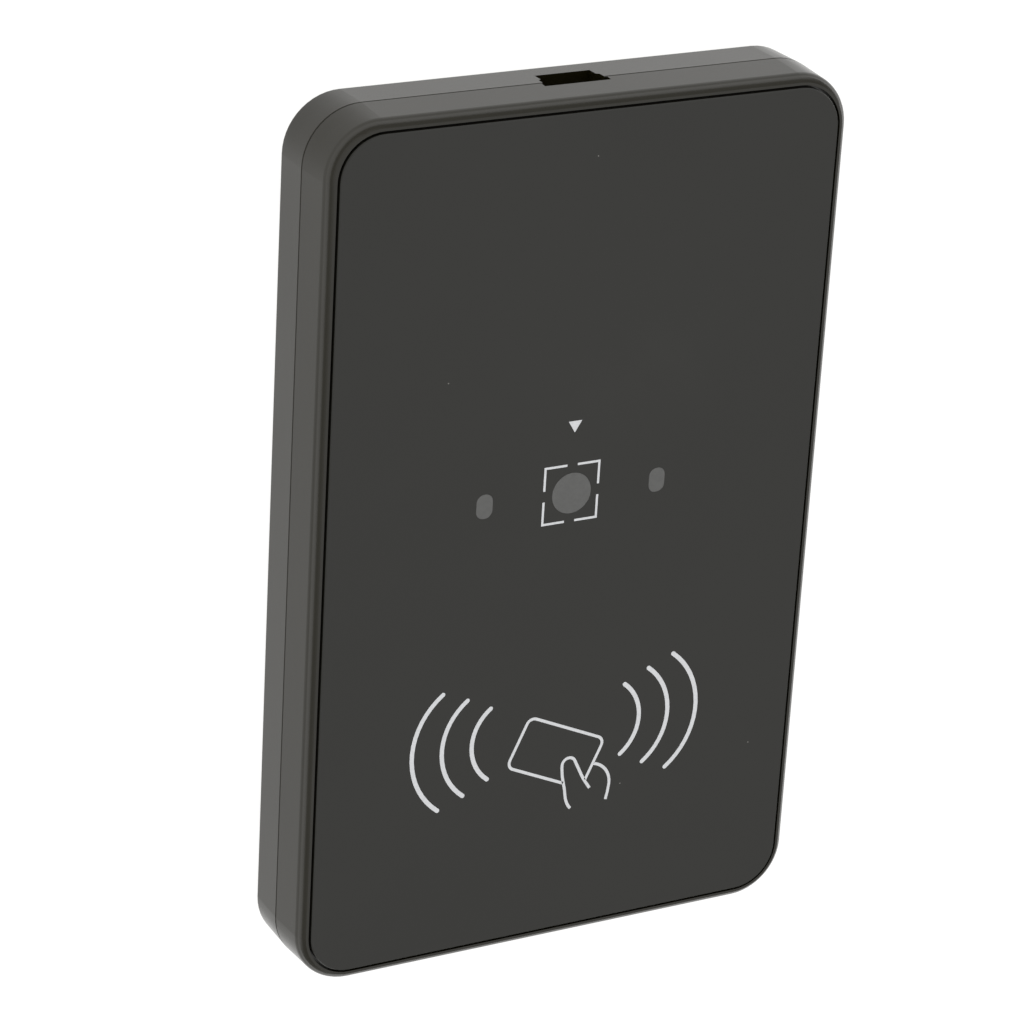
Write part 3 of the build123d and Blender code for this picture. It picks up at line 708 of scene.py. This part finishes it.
copper = metal("copper", (0.72, 0.38, 0.22), (0.36, 0.17, 0.09), roughness=0.28, spot_size=5 * MM)
tinned = metal("tinned", (0.70, 0.69, 0.67), (0.45, 0.44, 0.42), roughness=0.30, spot_size=0.6 * MM)
steel_can = metal(
    "steel_can", (0.58, 0.57, 0.55), (0.40, 0.39, 0.37),
    roughness=0.26, spot_size=1.5 * MM, line_stretch=lines_along_y,
)
gold_contact = metal(
    "gold_contact", (0.83, 0.62, 0.27), (0.62, 0.42, 0.17),
    roughness=0.22, spot_size=0.8 * MM, line_stretch=lines_along_y,
)
screw_zinc = metal(
    "screw_zinc", (0.62, 0.62, 0.60), (0.42, 0.41, 0.38),
    roughness=0.34, spot_size=0.7 * MM, line_depth=0.003 * MM,
)
dress(copper, "antenna_tracks")
dress(tinned, "mcu_pins")
dress(steel_can, "crystals", "usb_shell")
dress(gold_contact, "usb_contacts")
dress(screw_zinc, "case_screws", "board_screws")

# %% [markdown]
# Moulded and pressed parts are all one colour with a fine mottle. A second helper makes them
# from two close colours, a roughness, the size of the grain and its depth. The mottle and the
# changes in gloss are some grains wide.

# %% Moulded finishes
mottle_grains, gloss_grains = 4, 9      # their sizes, in grains
gloss_change = 0.06                     # each way


def moulded(name, colour, other_colour, roughness, grain_size, grain_depth):
    """A moulded finish: two close colours in fine mottle, uneven gloss and a raised grain."""
    finish, shader = new_finish(name, colour)
    mottle = spread(finish, cloud(finish, mottle_grains * grain_size, detail=4), 0.0, 1.0)
    dull_patches = cloud(finish, gloss_grains * grain_size)
    gloss = spread(finish, dull_patches, roughness - gloss_change, roughness + gloss_change)
    feed(finish, blend_colours(finish, mottle, colour, other_colour), shader, "Base Color")
    feed(finish, gloss, shader, "Roughness")
    raise_grain(finish, shader, cloud(finish, grain_size, detail=2), grain_depth)
    return finish


chip_black = moulded(
    "chip_black", (0.022, 0.022, 0.024), (0.034, 0.034, 0.036),
    roughness=0.55, grain_size=0.08 * MM, grain_depth=0.008 * MM,
)
ferrite = moulded(
    "ferrite", (0.060, 0.060, 0.066), (0.095, 0.093, 0.095),
    roughness=0.48, grain_size=0.10 * MM, grain_depth=0.010 * MM,
)
ceramic_tan = moulded(
    "ceramic_tan", (0.46, 0.32, 0.19), (0.54, 0.39, 0.25),
    roughness=0.40, grain_size=0.06 * MM, grain_depth=0.004 * MM,
)
buzzer_black = moulded(
    "buzzer_black", (0.020, 0.020, 0.020), (0.030, 0.030, 0.030),
    roughness=0.36, grain_size=0.15 * MM, grain_depth=0.006 * MM,
)
insulator_black = moulded(
    "insulator_black", (0.010, 0.010, 0.010), (0.016, 0.016, 0.016),
    roughness=0.50, grain_size=0.12 * MM, grain_depth=0.005 * MM,
)
foot_rubber = moulded(
    "foot_rubber", (0.018, 0.018, 0.018), (0.030, 0.029, 0.028),
    roughness=0.78, grain_size=0.12 * MM, grain_depth=0.012 * MM,
)
tape = moulded(
    "tape", (0.014, 0.014, 0.014), (0.022, 0.022, 0.022),
    roughness=0.85, grain_size=0.18 * MM, grain_depth=0.020 * MM,
)
dress(chip_black, "mcu_chip", "reader_chip", "regulator", "chip_resistors")
dress(ferrite, "filter_inductors")
dress(ceramic_tan, "chip_capacitors")
dress(buzzer_black, "buzzer")
dress(insulator_black, "usb_block", "usb_tongue")
dress(foot_rubber, "rubber_feet")
dress(tape, "panel_tape")

# %% [markdown]
# A tantalum capacitor has a brown bar across the end that goes to plus. The bar is a band of the
# X coordinate, at the left end of both capacitors, which stand one above the other.

# %% Tantalum capacitors
bar_width = 0.9 * MM
bar_brown = (0.16, 0.06, 0.03)
bar_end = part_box("tantalum_capacitors")[0].x + bar_width

tantalum_yellow = moulded(
    "tantalum_yellow", (0.62, 0.42, 0.08), (0.68, 0.48, 0.12),
    roughness=0.42, grain_size=0.10 * MM, grain_depth=0.006 * MM,
)
sideways = pattern_node(tantalum_yellow, "ShaderNodeSeparateXYZ").outputs["X"]
paint_over(tantalum_yellow, combine(tantalum_yellow, "LESS_THAN", sideways, bar_end), bar_brown)
dress(tantalum_yellow, "tantalum_capacitors")

# %% [markdown]
# An LED's white body carries clear resin, which is a coat over the moulded finish.

# %% LEDs
led_coat = 0.6

led_white = moulded(
    "led_white", (0.84, 0.83, 0.76), (0.86, 0.82, 0.62),
    roughness=0.30, grain_size=0.12 * MM, grain_depth=0.003 * MM,
)
led_white.node_tree.nodes["Principled BSDF"].inputs["Coat Weight"].default_value = led_coat
dress(led_white, "status_led", "left_led", "right_led")

# %% [markdown]
# The rating label is left blank: silvery polyester with a thin printed frame line near its edge.
# The distance to the edge is worked out from the label's own box, as half its size less how far
# a point is from the middle, and the frame is where that distance lies in a narrow band.

# %% Rating label
label_low, label_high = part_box("rating_label")
label_middle, label_half = (label_low + label_high) / 2, (label_high - label_low) / 2
frame_inset, frame_stroke = 1.5 * MM, 0.25 * MM
frame_black = (0.03, 0.03, 0.03)

label_paper = moulded(
    "label_paper", (0.66, 0.66, 0.64), (0.72, 0.72, 0.70),
    roughness=0.38, grain_size=0.20 * MM, grain_depth=0.002 * MM,
)
from_middle = pattern_node(label_paper, "ShaderNodeSeparateXYZ", centre=label_middle)
edge_gaps = [
    combine(label_paper, "SUBTRACT", half, combine(label_paper, "ABSOLUTE", from_middle.outputs[axis], 0.0))
    for axis, half in (("X", label_half.x), ("Y", label_half.y))
]
edge_gap = combine(label_paper, "MINIMUM", *edge_gaps)
outside_line = combine(label_paper, "GREATER_THAN", edge_gap, frame_inset)
inside_line = combine(label_paper, "LESS_THAN", edge_gap, frame_inset + frame_stroke)
paint_over(label_paper, combine(label_paper, "MULTIPLY", outside_line, inside_line), frame_black)
dress(label_paper, "rating_label")
